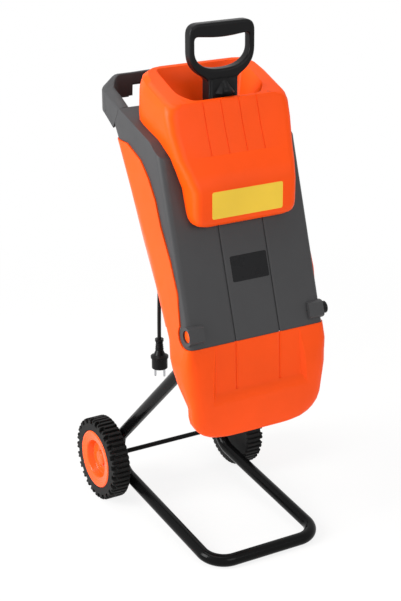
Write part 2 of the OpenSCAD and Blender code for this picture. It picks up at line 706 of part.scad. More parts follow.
// The inside lies above the outside under the apron and below it under the rim
function hopper_rise(z) = lookup(z, [[668, hopper_wall], [738, 0], [850, -hopper_wall]]);
function hopper_inner(q) = hopper_ring([q[0] + hopper_rise(q[0]), q[1], q[2], q[3], q[4], q[5], q[6]],
  hopper_wall);
function hopper_ring(q, inset) = let (
    x = hopper_w / 2 + q[4] - inset, f = q[2] + inset, b = q[3] - inset, rf = q[5] - inset,
      rb = q[6] - inset)
  [for (p = rounded([[-x, f], [x, f], [x, b], [-x, b]], [rf, rf, rb, rb]))
    [p[0], p[1], q[0] + q[1] * (p[1] - hopper_mid_y)]];
chute_y = -52;
chute_top_z = 800;
funnel_wall = 3;
function mouth_ring(w, front_w, f, b, z, tilt, grow) = let (r = 12 + grow)
  [for (p = rounded([[-front_w / 2 - grow, f - grow], [front_w / 2 + grow, f - grow],
      [w / 2 + grow, f + 26], [w / 2 + grow, b + grow], [-w / 2 - grow, b + grow], [-w / 2 - grow, f + 26]],
      [r, r, r, r, r, r])) [p[0], p[1], z + tilt * (p[1] - hopper_mid_y)]];
mouth_front = -79;
mouth_back = 29;
mouth_z = 909;
mouth_tilt = 0.39;
mouth_taper = 44;
mouth_roll = 5;
funnel_w = chute_w + 14;
funnel_d = chute_d + 14;
funnel_z = chute_top_z + 0.2;
module funnel(grow, low, high) {
  loft([
    mouth_ring(funnel_w, funnel_w - 2, chute_y - funnel_d / 2, chute_y + funnel_d / 2,
      funnel_z - low, 0, grow),
    mouth_ring(funnel_w, funnel_w - 2, chute_y - funnel_d / 2, chute_y + funnel_d / 2, funnel_z + 14,
      0, grow),
    mouth_ring(mouth_w, mouth_w - mouth_taper, mouth_front, mouth_back, mouth_z, mouth_tilt, grow),
    mouth_ring(mouth_w + 2 * mouth_roll, mouth_w - mouth_taper + 3 * mouth_roll, mouth_front - mouth_roll,
      mouth_back + mouth_roll, mouth_z + high, mouth_tilt, grow)]);
}
hopper_groove_x = [-58, -19.5, 19.5, 58];
hopper_groove_w = 2.4;
hopper_groove_deep = 1.3;
function front_of(q, inset) = [q[2] + inset, q[0] + q[1] * (q[2] - hopper_mid_y)];
module hopper_grooves() {
  upper = [for (q = hopper_stations) if (q[0] >= 796) q];
  for (x = hopper_groove_x) side_slab(x - hopper_groove_w / 2, x + hopper_groove_w / 2) polygon(concat(
    [front_of(upper[0], -1)], [for (q = upper) front_of(q, hopper_groove_deep)],
    [front_of(upper[len(upper) - 1], 0) + [0, 30], [-side_cut, front_of(upper[len(upper) - 1], 0)[1] + 30],
      [-side_cut, front_of(upper[0], 0)[1]]]));
}
module hopper() {
  color(orange) difference() {
    union() {
      difference() {
        loft([for (q = hopper_stations) hopper_ring(q, 0)]);
        loft([for (q = hopper_stations) hopper_inner(q)]);
      }
      intersection() {
        funnel(funnel_wall, 0, 1);
        loft([for (q = hopper_stations) hopper_ring(q, eps)]);
      }
      chute_screw_places() translate([0, 0, 0.2]) cylinder(d = chute_boss_d, h = chute_boss_l, $fn = 16);
    }
    funnel(0, 1, 8);
    hopper_grooves();
    chute_screw_places() cylinder(d = screw_d + 2 * run_fit, h = chute_screw_l + 1, $fn = 16);
    intersection() {
      loft([for (z = cover_levels) shell_ring(z, -0.3, cover_step)]);
      under_shoulder(-0.3);
    }
  }
}
chute_wall = 3;
flange_over = 18;
module feed_chute() {
  color(dark_grey) difference() {
    translate([0, chute_y, 0]) difference() {
      union() {
        translate([0, 0, disc_z]) linear_extrude(chute_top_z - disc_z)
          plain_rect(chute_w + 2 * chute_wall, chute_d + 2 * chute_wall, 8);
        translate([0, 0, chute_top_z - 4]) linear_extrude(4)
          plain_rect(chute_w + 2 * flange_over, chute_d + 2 * flange_over, 12);
      }
      translate([0, 0, disc_z - 1]) linear_extrude(chute_top_z - disc_z + 2) plain_rect(chute_w,
        chute_d, 5);
    }
    chute_screw_places() translate([0, 0, -5]) cylinder(d = screw_d + 2 * run_fit, h = 6);
    at_disc() translate([-side_cut / 2, -side_cut / 2, -side_cut + chamber_top + 1]) cube(side_cut);
  }
}
chute_boss_d = 11;
chute_boss_l = 26;
chute_screw_l = 12;
module chute_screw_places() {
  for (x = [-1, 1]) for (y = [-1, 1])
    translate([x * (chute_w / 2 + 12.5), chute_y + y * (chute_d / 2 + 3), chute_top_z]) children();
}
module chute_screws() {
  color(steel) chute_screw_places() {
    translate([0, 0, -4]) cylinder(d = screw_d, h = 4 + chute_screw_l);
    translate([0, 0, -4 - head_t]) cylinder(d = head_d - 1, h = head_t);
  }
}

// Rear handle: two channel arms off the cover's rear wall and a grip across the back
handle_half = cover_half;
arm_w = 19;
grip_d = 27;
grip_h = 24;
grip_back = 166;
grip_top_z = 904;
grip_corner = 26;
grip_inner = 20;
bevel_in = 11;
bevel_down = 14;
gusset_w = 38;
handle_gap = 0.2;
module handle_side() {
  polygon([
    [seam_low[0] + handle_gap + 0.5, seam_low[1] + 3], [grip_back, grip_top_z - 54], [grip_back,
      grip_top_z - 16],
    [grip_back - 10, grip_top_z], [grip_back - grip_d, grip_top_z], [seam_high[0] + handle_gap + 0.5,
      seam_high[1] + 1]]);
}
module handle_plan(inset) {
  hollow_d = grip_back - grip_d + inset + 2 * grip_inner;
  difference() {
    translate([0, (grip_back - inset) / 2])
      plain_rect(2 * (handle_half - inset), grip_back - inset, grip_corner - inset);
    translate([0, grip_back - grip_d + inset - hollow_d / 2])
      plain_rect(2 * (handle_half - arm_w + inset), hollow_d, grip_inner);
  }
}
// Bevel along the outer top edge of each arm
arm_top = [grip_back - grip_d - seam_high[0] - handle_gap - 0.5, grip_top_z - seam_high[1] - 1];
module arm_bevels(grow) {
  deep = bevel_down + grow * bevel_down / bevel_in;
  for (s = [0, 1]) mirror([s, 0, 0])
    translate([handle_half, seam_high[0] + handle_gap + 0.5, seam_high[1] + 1])
      rotate([-atan2(arm_top[0], arm_top[1]), 0, 0]) translate([0, 0, -side_cut / 4])
        linear_extrude(side_cut)
        polygon([[1, -1], [-bevel_in - grow, -1], [-bevel_in - grow, 0], [0, deep], [1, deep]]);
}
handle_wall = 3;
module rear_handle() {
  color(dark_grey) difference() {
    intersection() {
      side_slab(-handle_half, handle_half) handle_side();
      translate([0, 0, housing_top_z - 20]) linear_extrude(side_cut / 2) handle_plan(0);
    }
    translate([gusset_w - handle_half, 0, housing_top_z])
      cube([2 * (handle_half - gusset_w), side_cut / 2, grip_top_z - grip_h - housing_top_z]);
    handle_screw_places() cylinder(d = screw_d + 2 * run_fit, h = handle_screw_l + 1);
    arm_bevels(0);
    difference() {
      intersection() {
        translate([0, 0, -handle_wall - 1]) side_slab(-handle_half, handle_half) handle_side();
        translate([0, 0, housing_top_z - 40]) linear_extrude(side_cut / 2) handle_plan(handle_wall);
        translate([-side_cut, seam_high[0] + 34, 0]) cube([2 * side_cut, side_cut, side_cut * 3]);
      }
      arm_bevels(handle_wall + 2);
    }
  }
}
seam_slope = atan2(seam_high[1] - seam_low[1], seam_low[0] - seam_high[0]);
handle_screw_l = 18;
module handle_screw_places() {
  for (s = [-1, 1])
    translate([s * (handle_half - arm_w / 2), (seam_low[0] + seam_high[0]) / 2,
      (seam_low[1] + seam_high[1]) / 2])
      rotate([-seam_slope, 0, 0]) children();
}
module handle_screws() {
  color(steel) handle_screw_places() translate([0, 0, -wall - 0.3]) {
    cylinder(d = screw_d, h = handle_screw_l + wall + 0.3);
    translate([0, 0, -head_t]) cylinder(d = head_d, h = head_t);
  }
}

// Lock: a knob at the rear whose screw passes the hopper's slotted lug
lock_place = [78, 758];
lock_angle = atan2(lock_place[0] - hinge_y, lock_place[1] - hinge_z);
lock_screw_d = 8;
lock_boss_l = 26;
lock_boss_d = 22;
knob_d = 40;
knob_notch = knob_d + 10;
knob_notch_z = lock_place[1] - 8;
lug_t = 4;
lug_w = 34;
lug_front = 30;
lug_rear = 14;
lug_seat = 0.7;
module lock_axis() {
  translate([0, lock_place[0], lock_place[1]]) rotate([-lock_angle, 0, 0]) children();
}
module lock_boss() {
  rib_t = 10;
  lock_axis() translate([0, 0, -lock_boss_l]) {
    cylinder(d = lock_boss_d, h = lock_boss_l);
    translate([-rib_t / 2, 0, 0]) cube([rib_t, 60, lock_boss_l - 6]);
  }
}
// The lug: slotted plate under the knob, an upright and a flange below the cover's ledge
lug_along = [cos(lock_angle), -sin(lock_angle)];
lug_out = [sin(lock_angle), cos(lock_angle)];
function lug_point(along, out) = lock_place + along * lug_along + (lug_seat + out) * lug_out;
function ledge_under(y) = ledge_front[1] - wall - 0.3 + (y - ledge_front[0] - wall * 0.6)
  * (seam_high[1] - ledge_front[1]) / (seam_high[0] - ledge_front[0] - wall * 1.3);
module lock_lug() {
  foot = lug_point(-lug_front, 0);
  flange_y = min(foot[0] + 16, seam_high[0] - wall * 0.7 - 1.5);
  color(steel) difference() {
    side_slab(-lug_w / 2, lug_w / 2) {
      polygon([foot, lug_point(lug_rear, 0), lug_point(lug_rear, lug_t), lug_point(-lug_front, lug_t)]);
      polygon([foot, foot + [lug_t, 0], [foot[0] + lug_t, ledge_under(foot[0] + lug_t)],
        [foot[0], ledge_under(foot[0])]]);
      polygon([[foot[0], ledge_under(foot[0]) - lug_t], [flange_y, ledge_under(flange_y) - lug_t],
        [flange_y, ledge_under(flange_y)], [foot[0], ledge_under(foot[0])]]);
    }
    lock_axis() {
      translate([0, 0, -1]) cylinder(d = lock_screw_d + 2, h = lug_t + 4);
      translate([-lock_screw_d / 2 - 1, 0, -1]) cube([lock_screw_d + 2, 40, lug_t + 4]);
    }
  }
}
module lock_screw() {
  color(steel) lock_axis() translate([0, 0, -lock_boss_l + 3]) cylinder(d = lock_screw_d,
    h = lock_boss_l + 17);
}
module lock_knob() {
  lobes = 6;
  hub_l = 9;
  rim_l = 15;
  color(black) lock_axis() translate([0, 0, lug_seat + lug_t + body_gap]) difference() {
    union() {
      cylinder(d = knob_d / 2, h = hub_l);
      translate([0, 0, hub_l]) linear_extrude(rim_l)
        polygon([for (a = [0:5:355]) (knob_d / 2 - 2 + 2 * cos(lobes * a)) * [cos(a), sin(a)]]);
    }
    translate([0, 0, -1]) cylinder(d = lock_screw_d, h = hub_l + rim_l / 2);
  }
}

// Push block with its D-handle
handle_low_z = plunger_top_z - 104;
handle_mid_z = handle_low_z + 44;
block_low_z = 545;
block_top_z = chute_top_z - 8;
block_wall = 3;
window_top = plunger_top_z - 24;
window_low = handle_low_z + 16;
fin_h = 26;
fin_r = 21;
module front_slab(depth) {
  translate([0, chute_y + depth / 2, 0]) rotate([90, 0, 0]) linear_extrude(depth) children();
}
module d_outline() {
  x = plunger_w / 2;
  polygon(rounded([[-x, plunger_top_z], [x, plunger_top_z], [x, handle_mid_z], [neck_w / 2, handle_low_z],
    [-neck_w / 2, handle_low_z], [-x, handle_mid_z]], [26, 26, 34, 12, 12, 34]));
}
module d_window() {
  x = plunger_w / 2 - plunger_bar;
  polygon(rounded([[-x, window_top], [x, window_top], [x, window_low], [-x, window_low]], [12, 12,
    24, 24]));
}
module plunger() {
  color(black) difference() {
    union() {
      front_slab(plunger_d) difference() {
        d_outline();
        d_window();
      }
      translate([0, chute_y, block_low_z]) linear_extrude(block_top_z - block_low_z)
        plain_rect(block_w, block_d, 6);
      translate([0, chute_y, block_low_z]) linear_extrude(handle_low_z + 8 - block_low_z)
        plain_rect(neck_w, neck_d, 6);
      translate([0, chute_y - neck_d / 2 + 4, handle_low_z - fin_h]) cylinder(r1 = fin_r, r2 = 3,
        h = fin_h);
    }
    translate([0, chute_y, block_low_z - 1]) linear_extrude(block_top_z - block_wall - block_low_z + 1)
      plain_rect(block_w - 2 * block_wall, block_d - 2 * block_wall, 3);
    translate([0, chute_y, block_low_z - 1]) linear_extrude(handle_low_z - fin_h - 14 - block_low_z)
      plain_rect(neck_w - 2 * block_wall, neck_d - 2 * block_wall, 3);
  }
}
module plunger_collar() {
  color(black) translate([0, chute_y, chute_top_z + 0.3]) linear_extrude(9) difference() {
    plain_rect(chute_w + 8, chute_d - 1, 8);
    plain_rect(neck_w + 0.2, neck_d + 0.2, 6.1);
  }
}

// Switch box on the rear wall, with two main buttons and the overload reset
box_w = 104;
box_low = 622;
box_high = 742;
box_back = 126;
box_wall = 3;
button_d = 18;
reset_d = 12;
button_travel = 4;
module box_side(inset) {
  polygon([
    [y_rear(box_low) + 0.2 + inset, box_low + inset], [box_back - inset, box_low + inset],
    [box_back - inset, box_high - 8 - inset], [y_rear(box_high) + 0.2 + inset, box_high - inset]]);
}
button_places = [[-20, 706], [20, 706], [0, 655]];
module at_button(i) {
  translate([button_places[i][0], box_back, button_places[i][1]]) rotate([-90, 0, 0]) children();
}
module switch_box() {
  color(black) difference() {
    side_slab(-box_w / 2, box_w / 2) box_side(0);
    side_slab(-box_w / 2 + box_wall, box_w / 2 - box_wall) box_side(box_wall);
    for (i = [0:2]) at_button(i) translate([0, 0, -box_wall - 1])
      cylinder(d = (i == 2 ? reset_d : button_d) + 2 * body_gap, h = box_wall + 2);
    translate([gland_x, gland_y, box_low - 1]) cylinder(d = gland_neck_d, h = 12);
    switch_screw_places() translate([0, 0, -box_wall - 1]) cylinder(d = screw_d, h = box_wall + 2);
  }
}
module switch_screw_places() {
  for (x = [-1, 1]) for (z = [box_low + 14, box_high - 18])
    translate([x * (box_w / 2 - 9), box_back, z]) rotate([-90, 0, 0]) children();
}
module switch_screws() {
  color(steel) switch_screw_places() {
    translate([0, 0, -box_wall - 4]) cylinder(d = screw_d, h = box_wall + 4);
    cylinder(d = head_d - 2, h = 2);
  }
}
module button(i, d) {
  at_button(i) {
    translate([0, 0, -box_wall - 2]) cylinder(d = d, h = box_wall + 2 + button_travel + 2.5);
    translate([0, 0, -box_wall - 2 - body_gap]) cylinder(d = d + 5, h = 2);
  }
}
module start_button() { color("#2f9e44") button(0, button_d); }
module stop_button() { color("#c92a2a") button(1, button_d); }
module reset_button() { color(dark_grey) button(2, reset_d); }

// Mains lead: out of a tapered gland under the switch box, straight down to its plug
gland_x = -46;
plug_x = -50;
gland_y = 109;
gland_neck_d = 14;
cord_d = 8;
cord_top_z = box_low - 40;
plug_top_z = 352;
cord_runs = 14;
function cord_x(share) = gland_x + (plug_x - gland_x) * share * share * (3 - 2 * share);
cord_points = [for (i = [0:cord_runs]) let (share = i / cord_runs)
  [cord_x(share), gland_y, cord_top_z + (plug_top_z - cord_top_z) * share]];
cord_sides = 10;
module cord() {
  color(black) mirror([0, 0, 1]) loft([
    for (q = cord_points) [for (i = [0:cord_sides - 1]) let (a = 360 * i / cord_sides)
      [q[0] + cord_d / 2 * cos(a), q[1] + cord_d / 2 * sin(a), -q[2]]]]);
}
module cord_gland() {
  color(black) translate([gland_x, gland_y, 0]) {
    translate([0, 0, cord_top_z]) cylinder(d1 = cord_d + 3, d2 = gland_neck_d - 1,
      h = box_low - cord_top_z - 4);
    translate([0, 0, box_low - 4]) cylinder(d = gland_neck_d + 4, h = 4);
    translate([0, 0, box_low]) cylinder(d = gland_neck_d - 0.2, h = 5);
  }
}
plug_collar_d = 18;
plug_flange_d = 37;
pin_d = 4.8;
pin_l = 17;
pin_tip = 2;
shank_d = 4;
shank_out = 0.6;
shank_in = 16;
module plug() {
  ribs = 4;
  color(black) translate([plug_x, gland_y, plug_top_z]) difference() {
    rotate_extrude() polygon(concat(
      [[0, 0], [plug_collar_d / 2, 0], [plug_collar_d / 2, -5], [6, -6]],
      [for (i = [0:ribs - 1]) each [[6.5 + i * 0.4, -7 - i * 4.5], [7.6 + i * 0.4, -8 - i * 4.5],
        [7.6 + i * 0.4, -10 - i * 4.5], [6.5 + i * 0.4, -10.8 - i * 4.5]]],
      [[12, -34], [plug_flange_d / 2, -38], [plug_flange_d / 2, -42], [16.5, -43], [16.5, -64],
        [15.5, -65], [0, -65]]));
    plug_pin_places() translate([0, 0, -1]) cylinder(d = shank_d + 2 * run_fit, h = shank_in + 2);
  }
}
module plug_pin_places() {
  for (s = [-1, 1]) translate([s * 9.5 * cos(40), s * -9.5 * sin(40), -65]) children();
}
module plug_pins() {
  color(steel) translate([plug_x, gland_y, plug_top_z]) plug_pin_places() {
    translate([0, 0, -shank_out]) cylinder(d = shank_d, h = shank_out + shank_in);
    translate([0, 0, -pin_l]) cylinder(d = pin_d, h = pin_l - shank_out);
    translate([0, 0, -pin_l - pin_tip]) cylinder(d1 = 3, d2 = pin_d, h = pin_tip);
  }
}

lower_housing();
blade_chamber();
hinge_pin_left();
hinge_pin_right();
rear_handle();
handle_screws();
foot_tube();
strut_left();
strut_right();
frame_screws();
axle();
axle_caps();
motor_bell();
motor_bracket();
stator();
upper_bearing();
lower_bearing();
motor_screws();
switch_box();
switch_screws();
cord_gland();
cord();
plug();
plug_pins();
motor_shaft();
armature();
commutator();
cooling_fan();
blade_disc();
blades();
blade_screws();
disc_nut();
front_cover();
hopper();
feed_chute();
chute_screws();
lock_lug();
plunger();
plunger_collar();
lock_knob();
lock_screw();
start_button();
stop_button();
reset_button();
tyre_left();
hub_left();
tyre_right();
hub_right();
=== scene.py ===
from math import cos, pi, radians, sin

import bmesh
import bpy
from mathutils import Matrix, Vector


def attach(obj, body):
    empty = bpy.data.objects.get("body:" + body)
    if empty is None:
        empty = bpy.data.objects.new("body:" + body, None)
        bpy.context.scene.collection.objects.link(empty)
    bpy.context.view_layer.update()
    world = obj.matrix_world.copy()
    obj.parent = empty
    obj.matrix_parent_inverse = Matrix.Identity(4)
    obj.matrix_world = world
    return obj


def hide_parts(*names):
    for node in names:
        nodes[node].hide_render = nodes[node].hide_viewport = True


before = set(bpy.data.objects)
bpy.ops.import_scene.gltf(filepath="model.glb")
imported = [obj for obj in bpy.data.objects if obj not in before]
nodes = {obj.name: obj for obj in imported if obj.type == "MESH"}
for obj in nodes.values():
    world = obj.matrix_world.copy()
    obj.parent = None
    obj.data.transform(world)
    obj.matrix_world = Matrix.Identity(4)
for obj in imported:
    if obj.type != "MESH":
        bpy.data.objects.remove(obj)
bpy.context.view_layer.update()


# Camera: a long lens a little above the machine, to the left of its front.
# It looks down on the hood, with a trace of roll.
def placed(name, data):
    """A new object in the scene that shows the given data."""
    thing = bpy.data.objects.new(name, data)
    bpy.context.scene.collection.objects.link(thing)
    return thing


camera_place = Vector((-1.42564, -2.43408, 1.52346))
camera_aim = Vector((0.46945, 0.80965, -0.35226)).normalized()
camera_roll = radians(-0.295)
level_right = camera_aim.cross(Vector((0, 0, 1))).normalized()
level_up = level_right.cross(camera_aim)
camera_right = level_right * cos(camera_roll) + level_up * sin(camera_roll)
camera_up = level_up * cos(camera_roll) - level_right * sin(camera_roll)
camera_turn = Matrix((camera_right, camera_up, -camera_aim)).transposed()
camera_data = bpy.data.cameras.new("studio_camera")
camera_data.sensor_fit = "VERTICAL"
camera_data.sensor_height = 24
camera_data.lens = 60.256
camera_data.clip_end = 50
camera = placed("studio_camera", camera_data)
camera.matrix_world = Matrix.Translation(camera_place) @ camera_turn.to_4x4()
bpy.context.scene.camera = camera
bpy.context.scene.view_settings.view_transform = "Standard"


# Mains lead: a short black rubber lead that hangs straight down from its gland to the plug.
# A plain round jacket, very slightly bowed by the way it was packed.
def new_material(name):
    material = bpy.data.materials.new(name)
    material.use_nodes = True
    return material


def set_surface(material, settings):
    """Fixed values of the material's shader, by the names of its inputs."""
    shader = material.node_tree.nodes["Principled BSDF"]
    for name, value in settings.items():
        shader.inputs[name].default_value = value


def noise(material, scale, detail, stretch=None):
    """The grey of a noise texture, laid out in the piece's own metres."""
    nodes_in = material.node_tree.nodes
    link = material.node_tree.links.new
    place = nodes_in.new("ShaderNodeTexCoord").outputs["Object"]
    if stretch:
        mapping = nodes_in.new("ShaderNodeMapping")
        mapping.inputs["Scale"].default_value = stretch
        link(place, mapping.inputs["Vector"])
        place = mapping.outputs["Vector"]
    texture = nodes_in.new("ShaderNodeTexNoise")
    texture.inputs["Scale"].default_value = scale
    texture.inputs["Detail"].default_value = detail
    link(place, texture.inputs["Vector"])
    return texture.outputs["Fac"]


def tint(material, grey, low, high, dark, light):
    """Base colour that runs from dark to light as the grey goes from low to high."""
    nodes_in = material.node_tree.nodes
    link = material.node_tree.links.new
    ramp = nodes_in.new("ShaderNodeValToRGB")
    for stop, position, colour in zip(ramp.color_ramp.elements, (low, high), (dark, light)):
        stop.position = position
        stop.color = (*colour, 1)
    link(grey, ramp.inputs["Fac"])
    link(ramp.outputs["Color"], nodes_in["Principled BSDF"].inputs["Base Color"])


def emboss(material, grey, strength, depth):
    """Fine relief that follows the grey."""
    nodes_in = material.node_tree.nodes
    link = material.node_tree.links.new
    bump = nodes_in.new("ShaderNodeBump")
    bump.inputs["Strength"].default_value = strength
    bump.inputs["Distance"].default_value = depth
    link(grey, bump.inputs["Height"])
    link(bump.outputs["Normal"], nodes_in["Principled BSDF"].inputs["Normal"])


def rubber(name, shade, roughness):
    """Matt rubber: a trace of dust in its shade, and a fine grain."""
    material = new_material(name)
    tint(material, noise(material, scale=60, detail=6), low=0.3, high=0.75,
         dark=(shade * 0.8, shade * 0.8, shade * 0.82),
         light=(shade * 1.25, shade * 1.25, shade * 1.22))
    emboss(material, noise(material, scale=1400, detail=3), strength=0.25, depth=0.0002)
    set_surface(material, {"Roughness": roughness, "Specular IOR Level": 0.1})
    return material


def eased(share):
    """A share from 0 to 1 that starts and ends gently."""
    return share * share * (3 - 2 * share)


exit_x = -0.046
exit_y = 0.109
exit_z = 0.582
lead_drop = 0.230
lead_bow = 0.004
lead_diameter = 0.008
lead_runs = 14
lead_points = []
for run in range(lead_runs + 1):
    share = run / lead_runs
    lead_points.append((exit_x - lead_bow * eased(share), exit_y, exit_z - lead_drop * share))
lead_curve = bpy.data.curves.new("mains_lead", "CURVE")
lead_curve.dimensions = "3D"
lead_curve.bevel_depth = lead_diameter / 2
lead_curve.bevel_resolution = 5
lead_curve.use_fill_caps = True
lead_line = lead_curve.splines.new("POLY")
lead_line.points.add(lead_runs)
for spot, place in zip(lead_line.points, lead_points):
    spot.co = (*place, 1)
lead = placed("mains_lead", lead_curve)
lead_curve.materials.append(rubber("lead_rubber", shade=0.012, roughness=0.5))
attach(lead, "base")
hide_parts("cord")


# Studio: a white paper sweep under soft light from the left, with weaker light from the front and above.
# The paper turns fully white away from the machine and takes its shadow near it.
def ranged(tree, value, low, high, to_low, to_high):
    """A value that runs from to_low to to_high as the given one goes from low to high."""
    change = tree.nodes.new("ShaderNodeMapRange")
    change.inputs["From Min"].default_value = low
    change.inputs["From Max"].default_value = high
    change.inputs["To Min"].default_value = to_low
    change.inputs["To Max"].default_value = to_high
    tree.links.new(value, change.inputs["Value"])
    return change.outputs["Result"]


def seen_rays(tree, kinds):
    """One for a ray of the given kinds, zero for any other."""
    rays = tree.nodes.new("ShaderNodeLightPath")
    seen = rays.outputs[kinds[0]]
    for kind in kinds[1:]:
        either = tree.nodes.new("ShaderNodeMath")
        either.operation = "MAXIMUM"
        tree.links.new(seen, either.inputs[0])
        tree.links.new(rays.outputs[kind], either.inputs[1])
        seen = either.outputs[0]
    return seen


def mixed(tree, share, first, second, surface):
    """The first shader with its share of the second, led to the surface."""
    mix = tree.nodes.new("ShaderNodeMixShader")
    tree.links.new(share, mix.inputs["Fac"])
    tree.links.new(first.outputs[0], mix.inputs[1])
    tree.links.new(second.outputs[0], mix.inputs[2])
    tree.links.new(mix.outputs[0], surface.inputs["Surface"])


floor_half = 6
shadow_reach = 0.5
white_reach = 1.8
near_white = 0.84
floor_mesh = bpy.data.meshes.new("paper_floor")
floor_corners = [(-floor_half, -floor_half, 0), (floor_half, -floor_half, 0),
                 (floor_half, floor_half, 0), (-floor_half, floor_half, 0)]
floor_mesh.from_pydata(floor_corners, [], [(0, 1, 2, 3)])
floor = placed("paper_floor", floor_mesh)
paper = new_material("studio_paper")
set_surface(paper, {"Base Color": (0.9, 0.895, 0.88, 1), "Roughness": 0.9})
paper_tree = paper.node_tree
paper_glow = paper_tree.nodes.new("ShaderNodeEmission")
paper_glow.inputs["Color"].default_value = (1, 1, 1, 1)
paper_glow.inputs["Strength"].default_value = 1
paper_place = paper_tree.nodes.new("ShaderNodeNewGeometry")
paper_reach = paper_tree.nodes.new("ShaderNodeVectorMath")
paper_reach.operation = "LENGTH"
paper_tree.links.new(paper_place.outputs["Position"], paper_reach.inputs[0])
whiteness = ranged(paper_tree, paper_reach.outputs["Value"], shadow_reach, white_reach, near_white, 1)
paper_seen = seen_rays(paper_tree, ["Is Camera Ray", "Is Glossy Ray"])
seen_share = paper_tree.nodes.new("ShaderNodeMath")
seen_share.operation = "MULTIPLY"
paper_tree.links.new(paper_seen, seen_share.inputs[0])
paper_tree.links.new(whiteness, seen_share.inputs[1])
mixed(paper_tree, seen_share.outputs[0], paper_tree.nodes["Principled BSDF"], paper_glow,
      paper_tree.nodes["Material Output"])
floor_mesh.materials.append(paper)

air = bpy.data.worlds.new("studio_air")
bpy.context.scene.world = air
air.use_nodes = True
air_tree = air.node_tree
dim_air = air_tree.nodes["Background"]
white_air = air_tree.nodes.new("ShaderNodeBackground")
for glow, strength in [(dim_air, 0.42), (white_air, 1)]:
    glow.inputs["Color"].default_value = (1, 1, 1, 1)
    glow.inputs["Strength"].default_value = strength
air_seen = seen_rays(air_tree, ["Is Camera Ray", "Is Glossy Ray", "Is Transmission Ray"])
mixed(air_tree, air_seen, dim_air, white_air, air_tree.nodes["World Output"])

# Each lamp by its name, place, aim, width and height, and power in watts.
softboxes = [
    ("left_softbox", (-2.6, 0.3, 1.7), (0, -0.05, 0.6), (1.2, 2.0), 112),
    ("front_softbox", (0.6, -3.4, 2.2), (0, -0.1, 0.5), (2.0, 1.6), 38),
    ("top_softbox", (-0.2, 0.3, 3.2), (0, 0, 0.5), (2.4, 2.0), 34)]
for lamp_name, lamp_place, lamp_aim, lamp_size, lamp_power in softboxes:
    lamp_data = bpy.data.lights.new(lamp_name, "AREA")
    lamp_data.shape = "RECTANGLE"
    lamp_data.size = lamp_size[0]
    lamp_data.size_y = lamp_size[1]
    lamp_data.energy = lamp_power
    lamp = placed(lamp_name, lamp_data)
    lamp.location = lamp_place
    lamp_beam = Vector(lamp_aim) - Vector(lamp_place)
    lamp.rotation_euler = lamp_beam.to_track_quat("-Z", "Y").to_euler()


# Lower housing: hood, flanks and rear tub in one orange moulding, with two seams down the hood.
# Glossy-satin polypropylene with a very fine spark-eroded grain and softly rounded edges.
weld_reach = 2e-6
flat_angle = radians(0.6)
mould_crease = 38


def welded(node):
    """A work mesh of a CAD solid, with its faces welded together and its flat sides made whole."""
    work = bmesh.new()
    work.from_mesh(nodes[node].data)
    bmesh.ops.remove_doubles(work, verts=work.verts, dist=weld_reach)
    bmesh.ops.dissolve_limit(work, angle_limit=flat_angle, verts=work.verts, edges=work.edges,
                             delimit={"NORMAL"})
    return work


def settled(piece):
    """The mesh of a piece once its modifiers or its curve are worked out."""
    view = bpy.context.evaluated_depsgraph_get()
    return bpy.data.meshes.new_from_object(piece.evaluated_get(view))


def shaded(mesh, crease):
    """Smooth shading that breaks where faces meet at more than the crease."""
    mesh.shade_smooth()
    mesh.set_sharp_from_angle(angle=radians(crease))


def rounded_copy(node, name, edge, steps=2, crease=mould_crease, cutter=None):
    """The CAD solid again, welded and cut, with its sharp edges rounded as a mould leaves them."""
    work = welded(node)
    work.verts.index_update()
    corners = [tuple(v.co) for v in work.verts]
    sides = [[v.index for v in f.verts] for f in work.faces]
    work.free()
    mesh = bpy.data.meshes.new(name)
    mesh.from_pydata(corners, [], sides)
    piece = placed(name, mesh)
    if cutter:
        cut = piece.modifiers.new("cut_outs", "BOOLEAN")
        cut.operation = "DIFFERENCE"
        cut.solver = "EXACT"
        cut.object = cutter
        piece.data = settled(piece)
        piece.modifiers.clear()
        bpy.data.objects.remove(cutter)
    shaded(piece.data, crease)
    if edge > 0:
        rounding = piece.modifiers.new("rounded_edges", "BEVEL")
        rounding.width = edge
        rounding.segments = steps
        rounding.limit_method = "ANGLE"
        rounding.angle_limit = radians(crease)
        rounding.use_clamp_overlap = True
        rounding.miter_outer = "MITER_ARC"
    even = piece.modifiers.new("even_shading", "WEIGHTED_NORMAL")
    even.weight = 80
    even.keep_sharp = True
    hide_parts(node)
    return piece


def boxes(name, places):
    """One object of unit cubes, each set and sized by its own matrix."""
    work = bmesh.new()
    for place in places:
        bmesh.ops.create_cube(work, size=1, matrix=place)
    mesh = bpy.data.meshes.new(name)
    work.to_mesh(mesh)
    work.free()
    return placed(name, mesh)


def front_cuts(name, middle, lean, pairs):
    """Blocks on a leaning front, left and right, each by its place across, outward and along."""
    front = Matrix.Translation(middle) @ Matrix.Rotation(-lean, 4, "X")
    places = []
    for across, outward, along, size in pairs:
        for side in [-across, across]:
            spot = front @ Matrix.Translation((side, -outward, along))
            places.append(spot @ Matrix.Diagonal((*size, 1)))
    return boxes(name, places)


def wear(material, grey, low, high, smooth, rough):
    """Roughness that runs from smooth to rough as the grey goes from low to high."""
    tree = material.node_tree
    roughness = ranged(tree, grey, low, high, smooth, rough)
    tree.links.new(roughness, tree.nodes["Principled BSDF"].inputs["Roughness"])


